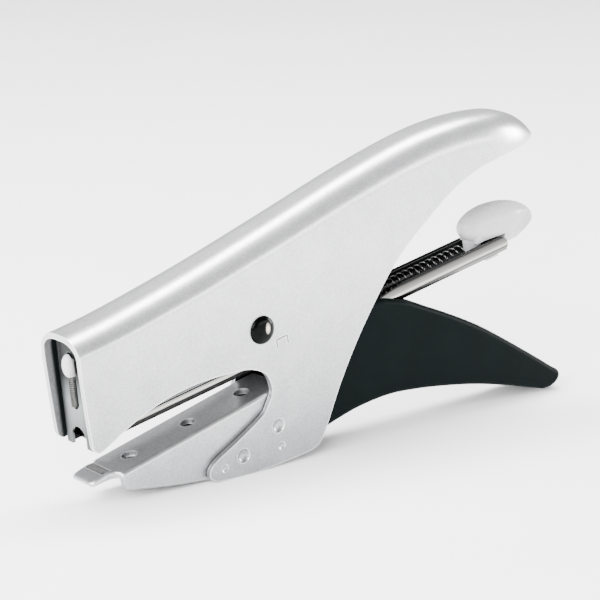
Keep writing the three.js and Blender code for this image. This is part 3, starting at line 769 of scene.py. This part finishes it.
def tongue():
    """The narrow nose of the jaw's top sheet, with rolled edges and rounded corners."""
    tip, corner, edge = -76.9, 1.5, 0.7
    upper = smooth_run([(tip, 6.0), (-76.75, 6.45), (-76.2, 6.8), (-74, 7.65), (-72.4, 8.2),
                        (-71, 8.35), (-67.3, 8.3)], 6)
    lower = smooth_run([(tip, 6.0), (-76.7, 5.6), (-76, 5.5), (-74, 5.9), (-72.2, 6.2),
                        (-67.3, 6.7)], 6)
    stations = [tip + 0.02, tip + 0.12, tip + 0.35, tip + 0.7, tip + 1.1, tip + 1.5]
    stations += [tip + 2.2 + 0.62 * i for i in range(12)]
    rings = []
    for y in stations:
        inset = corner - math.sqrt(max(0, corner ** 2 - max(0, tip + corner - y) ** 2))
        flare = 1.5 * min(1, max(0, (y + 71) / 2)) ** 2
        half = TONGUE_HALF - inset + flare
        high, low = height_at(upper, y), height_at(lower, y)
        r = min(edge, (high - low) * 0.48)
        ring = []
        for way, turn, level in ((1, 0, high - r), (-1, 90, high - r), (-1, 180, low + r),
                                 (1, 270, low + r)):
            ring += arc(way * (half - r), level, r, turn, turn + 90, 4)
        rings.append([(x, y, z) for x, z in ring])
    return loft("tongue", rings)


def lower_jaw():
    nose = arc(JAW_NOSE + 1.5, jaw_top(JAW_NOSE + 1.5) - 1.1, 1.1, 105, 170, 4)
    chin = smooth_run([(-69.3, 6.6), (-68.7, 4.8), (-68.1, 3.8), (-66.8, 3.2), (-62.2, 2.5)], 4)
    belly = smooth_run([(-62.2, 2.5), (-55, 1.5), (-47.8, 0.8), (-40.4, 0.32)], 4)
    outline = nose + chin[:-1] + belly + [(-30, 0.6), (JAW_BACK, 2), (JAW_BACK, jaw_top(JAW_BACK))]
    jaw = prism("jaw", outline, -JAW_HALF, JAW_HALF)
    round_edges(jaw, 2.2, 7, 50)
    front = JAW_NOSE - 1
    hollow = [
        (front, jaw_top(front) - JAW_WALL),
        (front, -2),
        (JAW_BACK + 2, -2),
        (JAW_BACK + 2, jaw_top(JAW_BACK + 2) - JAW_WALL),
    ]
    boolean(jaw, prism("hollow", hollow, JAW_WALL - JAW_HALF, JAW_HALF - JAW_WALL))
    boolean(jaw, tongue(), "UNION")
    for y in JAW_HOLES:
        hole = prism("hole", arc(0, y, 2, 0, 348.75, 31), 2, 30, "z")
        boolean(jaw, hole)
    start, end = ANVIL_Y - ANVIL_LONG / 2, ANVIL_Y + ANVIL_LONG / 2 + 0.25
    pocket = [(-ANVIL_HALF, start), (ANVIL_HALF, start), (ANVIL_HALF, end), (-ANVIL_HALF, end)]
    boolean(jaw, prism("pocket", pocket, TONGUE_TOP - 1, TONGUE_TOP + 3, "z"))
    round_edges(jaw, 0.35, 3, 50)
    shade(jaw, 50)
    return finish_piece(jaw, "frame", JAW_PAINT, "jaw_paint", "lower_jaw")


# ---------- handle ----------
def lower_handle():
    half = box_mm("lower_handle")[1].x
    top = smooth_run([(13.5, 36.9), (20.5, 35.4), (25.9, 33.3), (36.4, 28.8), (47.3, 23.5),
                      (58.4, 17), (69.8, 9.9), (74.6, 6.8), (76.9, 5.4), (77.5, 3.9),
                      (76.6, 2.2), (74.4, 1), (71.6, 0.8)], 5)
    under = smooth_run([(71.6, 0.8), (65.5, 2.4), (58.6, 4.3), (47.7, 6.9), (37, 8.7),
                        (26.3, 10), (15.9, 10.5), (5.7, 9.3), (-2.8, 7.1), (-8, 5.4),
                        (-11.8, 5.5), (-12.8, 8)], 4)
    front = smooth_run([(-9, 18), (-3, 28), (1.5, 33.6), (7, 36.8), (13.5, 36.9)], 4)
    handle = prism("handle", top[:-1] + under + front[:-1], -half, half)
    round_edges(handle, 1.6, 6, 50)
    nest = [(-20, 25.2), (2, 25.2), (6, 21.2), (34, 21.2), (46, 23.8), (46, 60), (-20, 60)]
    boolean(handle, prism("nest", nest, -MAG_HALF - 0.3, MAG_HALF + 0.3))
    arm_pocket = [(-20, 5), (-5, 8.5), (2.2, 25.5), (1, 29.6), (-4, 35), (-4, 50), (-20, 50)]
    for low_x, high_x in ((5.15, 9), (-9, -5.15)):
        boolean(handle, prism("arm_pocket", arm_pocket, low_x, high_x))
    shade(handle, 40)
    return finish_piece(handle, "lever", HANDLE, "handle_plastic", "lower_handle")


# ---------- magazine ----------
def channel_ring(u, half, foot, top, thick, slant=1.0, rise=1.8, bend=0.35):
    """One U section of folded sheet at u, with eased bends: (x, u, v) points."""
    def eased(a, b, c):
        """Three points that round the corner b between a and c."""
        a, b, c = Vector(a), Vector(b), Vector(c)
        near = b + (a - b).normalized() * bend
        far = b + (c - b).normalized() * bend
        return [tuple(near), tuple((near + far) / 4 + b / 2), tuple(far)]

    outer = [(half, top), (half, foot + rise), (half - slant, foot)]
    lift = thick * 0.75
    inner = [(half - thick, top), (half - thick, foot + rise + lift * 0.2),
             (half - slant - lift, foot + thick)]
    right = [outer[0], *eased(*outer), *eased(outer[1], outer[2], (0, foot))]
    back = [*eased((0, foot + thick), inner[2], inner[1]), *eased(inner[2], inner[1], inner[0]),
            inner[0]]
    left = [(-x, v) for x, v in reversed(right)]
    left_back = [(-x, v) for x, v in reversed(back)]
    return [(x, u, v) for x, v in right + left + left_back + back]


def tail_curve(rear, top):
    """Places and heights along the rounded upper corner at the rear end of a wall."""
    turn = [math.pi / 2 * i / 6 for i in range(7)]
    return [(rear - TAIL_ROUND * (1 - math.sin(a)), top - TAIL_ROUND * (1 - math.cos(a)))
            for a in turn]


def magazine_channel():
    heights = [(MAG_FRONT, HANGER_TOP), (61, HANGER_TOP), (86, 3.4), (94, WALL_TOP)]
    rings = [channel_ring(u, MAG_HALF, 0, top, SHEET) for u, top in heights]
    for u, top in tail_curve(MAG_REAR, WALL_TOP):
        rings.append(channel_ring(u, MAG_HALF, 0, top, SHEET))
    channel = loft("channel", rings, MAG_FRAME)
    slot = [(-1.9, 121), (1.9, 121), (1.9, MAG_REAR + 1), (-1.9, MAG_REAR + 1)]
    boolean(channel, prism("slot", slot, -1, 2, "z", MAG_FRAME))
    for way in (-1, 1):
        cheek = [(way * MAG_HALF, CHEEK_START), (way * MAG_HALF, MAG_FRONT + 1),
                 (way * (MAG_HALF - SHEET), MAG_FRONT + 1), (way * (MAG_HALF - SHEET), CHEEK_START)]
        boolean(channel, prism("cheek", cheek, -0.5, HANGER_TOP, "z", MAG_FRAME), "UNION")
    round_edges(channel, 0.1, 2, 40)
    shade(channel, 30)
    return finish_piece(channel, "magazine", NICKEL, "nickel_steel", "magazine_channel")


def front_plate():
    bend = 1.1
    outer = [(-PLATE_HALF, FLANGE)]
    outer += arc(bend - PLATE_HALF, bend, bend, 180, 270, 5)
    outer += arc(PLATE_HALF - bend, bend, bend, 270, 360, 5)
    outer += [(PLATE_HALF, FLANGE)]
    inner_half, inner_bend = PLATE_HALF - PLATE_THICK, bend - PLATE_THICK
    inner = [(inner_half, FLANGE)]
    inner += arc(inner_half - inner_bend, bend, inner_bend, 0, -90, 4)
    inner += arc(inner_bend - inner_half, bend, inner_bend, -90, -180, 4)
    inner += [(-inner_half, FLANGE)]
    plate = prism("plate", outer + inner, 0, PLATE_HEIGHT, "z", PLATE_FRAME)
    slot = arc(0, SLOT[0] + SLOT_HALF, SLOT_HALF, 180, 360, 12)
    slot += arc(0, SLOT[1] - SLOT_HALF, SLOT_HALF, 0, 180, 12)
    boolean(plate, prism("slot", slot, -2, 4, "y", PLATE_FRAME))
    notch = [(NOTCH, -1), *arc(0, 2, NOTCH, 0, 180, 14), (-NOTCH, -1)]
    boolean(plate, prism("notch", notch, -2, 4, "y", PLATE_FRAME))
    for way in (-1, 1):
        middle, low = way * (PLATE_HALF - PLATE_ROUND), PLATE_HEIGHT - PLATE_ROUND
        corner = arc(middle, low, PLATE_ROUND, 90 - 90 * way, 90, 8)
        corner += [(middle, PLATE_HEIGHT + 2), (way * (PLATE_HALF + 2), PLATE_HEIGHT + 2),
                   (way * (PLATE_HALF + 2), low)]
        boolean(plate, prism("corner", corner, -2, 4, "y", PLATE_FRAME))
    round_edges(plate, 0.12, 2, 45)
    shade(plate, 35)
    return finish_piece(plate, "magazine", PLATE_STEEL, "plate_steel", "front_plate")


def staple_strip():
    """Glued staples side by side, each with rounded shoulders and a thin gap."""
    thick, wire, gap = SHEET, 0.52, 0.05
    count = int((STICK_END - MAG_FRONT) / wire)
    pitch = (STICK_END - MAG_FRONT) / count
    outer = [(STAPLE_HALF, STAPLE_FOOT)]
    outer += arc(STAPLE_HALF - 0.7, STAPLE_TOP - 0.7, 0.7, 0, 90, 3)
    outer += [(-a, b) for a, b in reversed(outer)]
    inner = [(STAPLE_HALF - thick, STAPLE_FOOT), (STAPLE_HALF - thick, STAPLE_TOP - thick)]
    inner += [(-a, b) for a, b in reversed(inner)]
    ring = outer + inner[::-1]
    points, faces = [], []
    for i in range(count):
        start = len(points)
        size = len(ring)
        low = MAG_FRONT + pitch * i + gap / 2
        high = low + pitch - gap
        points += [(a, low, b) for a, b in ring] + [(a, high, b) for a, b in ring]
        faces += [list(range(start, start + size)), list(range(start + size, start + 2 * size))]
        for k in range(size):
            m = (k + 1) % size
            faces.append([start + k, start + m, start + size + m, start + size + k])
    strip = make_piece("staples", points, faces, MAG_FRAME)
    shade(strip, 35)
    return finish_piece(strip, "magazine", STAPLE, "staple_wire", "staple_stick")


# ---------- driver ----------
def driver_spring():
    low, high = SLOT[0] + 0.25, BUTTON_Z - 3.1
    centre_y = 0.1
    spring = coil("slot_spring", lambda t: 0.85 + 0.12 * max(0, 1 - t * 12), 0.26, 15,
                  (0, centre_y, low + 0.18), (0, centre_y, high), PLATE_FRAME)
    shade(spring, 60)
    finish_piece(spring, "magazine", WIRE, "spring_wire", "driver_spring")
    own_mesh(spring)
    return spring


def driver_button():
    """An oval button, flattened in front, with its stem through the slot."""
    half, tall, deep, back = 1.85, 3.0, 1.6, -0.35
    middle = BUTTON_Z + 0.1
    rings = []
    sides, steps = 36, 12
    for i in range(steps + 1):
        a = math.pi / 2 * i / steps
        spread = max(0.02, math.sin(a) ** 0.8)
        y = back - deep * math.cos(a) ** 0.9 if i < steps else back
        rings.append([(half * spread * math.cos(b), y, middle + tall * spread * math.sin(b))
                      for b in [2 * math.pi * k / sides for k in range(sides)]])
    button = loft("button", rings, PLATE_FRAME)
    wide = SLOT_HALF - 0.35
    stem = [(-wide, BUTTON_Z - 2.4), (wide, BUTTON_Z - 2.4), (wide, BUTTON_Z + 1.6),
            (-wide, BUTTON_Z + 1.6)]
    boolean(button, prism("stem", stem, back - 0.3, PLATE_THICK, "y", PLATE_FRAME), "UNION")
    shade(button, 45)
    return finish_piece(button, "driver", WHITE, "white_plastic", "driver_button")


# ---------- loading carrier ----------
def spring_trough():
    half, foot, thick = STAPLE_HALF, SHEET + 0.3, 0.6
    heights = [(TROUGH[0], TROUGH_TOP), *tail_curve(TROUGH[1], TROUGH_TOP)]
    rings = [channel_ring(u, half, foot, top, thick, 0.8, 1.2, 0.25) for u, top in heights]
    trough = loft("trough", rings, MAG_FRAME)
    tail = [(126.4, foot + 0.3), (TROUGH[1], foot + 0.3),
            *[(u, min(v, 4.3)) for u, v in reversed(tail_curve(TROUGH[1] - 0.1, TROUGH_TOP - 0.1))],
            (126.4, 4.3)]
    boolean(trough, prism("tail", tail, 0.3 - half, half - 0.3, "x", MAG_FRAME), "UNION")
    round_edges(trough, 0.12, 2, 40)
    shade(trough, 35)
    return finish_piece(trough, "carrier", BLACK, "black_plastic", "spring_trough")


def follower_spring():
    start, end = SPRING_SPAN

    def radius(t):
        """The coil opens out where it leaves the staple rail for the trough."""
        u = start + (end - start) * t
        return 1.6 + 0.35 * min(1, max(0, (u - 88) / 8))

    spring = coil("follower_coil", radius, 0.42, 36, (0, start + 0.2, SPRING_AXIS),
                  (0, end - 0.2, SPRING_AXIS), MAG_FRAME, 16, 7)
    shade(spring, 60)
    finish_piece(spring, "carrier", WIRE, "spring_wire", "follower_spring")
    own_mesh(spring)
    return spring


def follower_handle():
    """An egg-shaped paddle with a hollow for the thumb on each side, on a neck."""
    level = MAG_FRAME @ Matrix.Translation((0, 132.2, 6.9)) @ Matrix.Rotation(-MAG_SLOPE, 4, "X")
    reach, rise, thick = 12.75, 5.9, 4.4
    stations, sides = 32, 36
    rings = []
    for i in range(stations + 1):
        a = math.pi * (0.01 + 0.98 * i / stations)
        spread = math.sin(a)
        ring = []
        for k in range(sides):
            b = 2 * math.pi * k / sides
            c, s = math.cos(b), math.sin(b)
            x = thick * spread ** 0.75 * math.copysign(abs(c) ** 0.9, c)
            ring.append((x, -reach * math.cos(a), rise * spread * s))
        rings.append(ring)
    paddle = loft("paddle", rings, level)
    thumb_r, thumb_web = 8.5, 0.7
    for way in (-1, 1):
        ball = []
        for i in range(17):
            a = math.pi * i / 16
            ball.append((max(0.01, thumb_r * math.sin(a)),
                         way * (thumb_web + thumb_r) + thumb_r * math.cos(a)))
        boolean(paddle, lathe_x("thumb", ball, 9.6, -2.5, 64, level))
    seat = 4.85  # just above the walls of the channel and the trough
    clear = [(100, -9), (MAG_REAR + 0.3, -9), (MAG_REAR + 0.3, seat), (100, seat)]
    boolean(paddle, prism("clear", clear, -9, 9, "x", MAG_FRAME))
    neck = [*arc(0, 122.6, 1.8, 180, 360, 12), (1.8, 125), (-1.8, 125)]
    boolean(paddle, prism("neck", neck, 1.75, 7.5, "z", MAG_FRAME), "UNION")
    foot = [(-3.3, 122.4), (3.3, 122.4), (3.3, 131.2), (-3.3, 131.2)]
    boolean(paddle, prism("foot", foot, seat, 6.6, "z", MAG_FRAME), "UNION")
    round_edges(paddle, 0.45, 4, 28)
    shade(paddle, 50)
    return finish_piece(paddle, "carrier", WHITE, "white_plastic", "follower_handle")


# ---------- return spring ----------
def return_spring():
    low, high = box_mm("return_spring")
    wire, middle = 0.8, (low.y + high.y) / 2
    spring = coil("return_coil", lambda t: high.x - wire / 2, wire, 7,
                  (0, middle, low.z + wire / 2), (0, middle, high.z - wire / 2),
                  Matrix.Identity(4), 24, 8)
    shade(spring, 60)
    finish_piece(spring, "frame", WIRE, "spring_wire", "return_spring")
    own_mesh(spring)
    return spring


# ---------- carried-over CAD nodes ----------
def dress_node(name, material):
    """A CAD node keeps its mesh as it is, and only gets a detailed material."""
    for slot in frame["nodes"][name].material_slots:
        slot.material = material


# ---------- stage ----------
# name, direction from the object, distance, width and height in metres, brightness
LIGHTS = [
    ("top", (-0.27, 0.14, 0.95), 0.9, 1.1, 0.3, 29),
    ("front", (0.3, -0.8, 0.5), 1.0, 0.9, 0.7, 18),
    ("front_left", (-0.4, -0.8, 0.45), 1.0, 0.7, 0.6, 10),
    ("low_right", (0.88, 0.47, 0.14), 0.9, 0.7, 0.14, 11),
    ("edge", (0.72, -0.62, 0.42), 0.9, 0.3, 0.16, 14),
    ("strip", (0.35, 0.9, 0.14), 0.9, 0.06, 0.3, 150),
]


def softbox(name, direction, distance, wide, tall, brightness):
    """A rectangular light of an even brightness, aimed at the object."""
    data = bpy.data.lights.new(name, "AREA")
    data.shape = "RECTANGLE"
    data.size = wide
    data.size_y = tall
    data.energy = brightness * math.pi * wide * tall
    lamp = bpy.data.objects.new(name, data)
    lamp.location = Vector(direction).normalized() * distance + Vector((0, 0, 0.04))
    lamp.rotation_mode = "QUATERNION"
    lamp.rotation_quaternion = (-Vector(direction)).to_track_quat("-Z", "Y")
    bpy.context.scene.collection.objects.link(lamp)


def studio():
    floor = make_piece("floor", [(-3000, -3000, 0), (3000, -3000, 0), (3000, 3000, 0),
                                 (-3000, 3000, 0)], [[0, 1, 2, 3]])
    shader = Shader("floor_paper", Roughness=0.9)
    tone = shader.spread(shader.noise(40, 2), 0.0, 1.0)
    shader.link(shader.mixed(tone, (0.93, 0.93, 0.93), (0.95, 0.95, 0.95)), "Base Color")
    floor.data.materials.append(shader.material)
    world = bpy.data.worlds.new("studio")
    world.use_nodes = True
    sky = world.node_tree.nodes["Background"]
    sky.inputs["Color"].default_value = (1, 1, 1, 1)
    sky.inputs["Strength"].default_value = 0.6
    bpy.context.scene.world = world
    for light in LIGHTS:
        softbox(*light)


def camera():
    azimuth, elevation, distance = math.radians(51.3), math.radians(16), 0.65
    target = IN_PLACE @ Vector((0, -9.35, 39.4)) * MM
    back = Vector((
        math.sin(azimuth) * math.cos(elevation),
        -math.cos(azimuth) * math.cos(elevation),
        math.sin(elevation),
    ))
    data = bpy.data.cameras.new("camera")
    data.lens = 154
    view = bpy.data.objects.new("camera", data)
    view.location = target + back * distance
    view.rotation_mode = "QUATERNION"
    view.rotation_quaternion = (-back).to_track_quat("-Z", "Y")
    bpy.context.scene.collection.objects.link(view)
    bpy.context.scene.camera = view


camera()
studio()
body_shell()
main_rivet()
lower_jaw()
return_spring()
lower_handle()
magazine_channel()
front_plate()
staple_strip()
driver_spring()
driver_button()
spring_trough()
follower_spring()
follower_handle()
for node_name in ("pivot_bush", "lever_arm_left", "lever_arm_right", "handle_pin_front",
                  "handle_pin_rear", "drive_pin", "spring_saddle", "magazine_hanger",
                  "staple_rail", "driver_blade", "driver_head", "pusher", "pusher_rod",
                  "rod_collar"):
    dress_node(node_name, STEEL)
dress_node("anvil_plate", ANVIL)
dress_node("spring_cup", BLACK)
dress_node("latch_nub", WHITE)
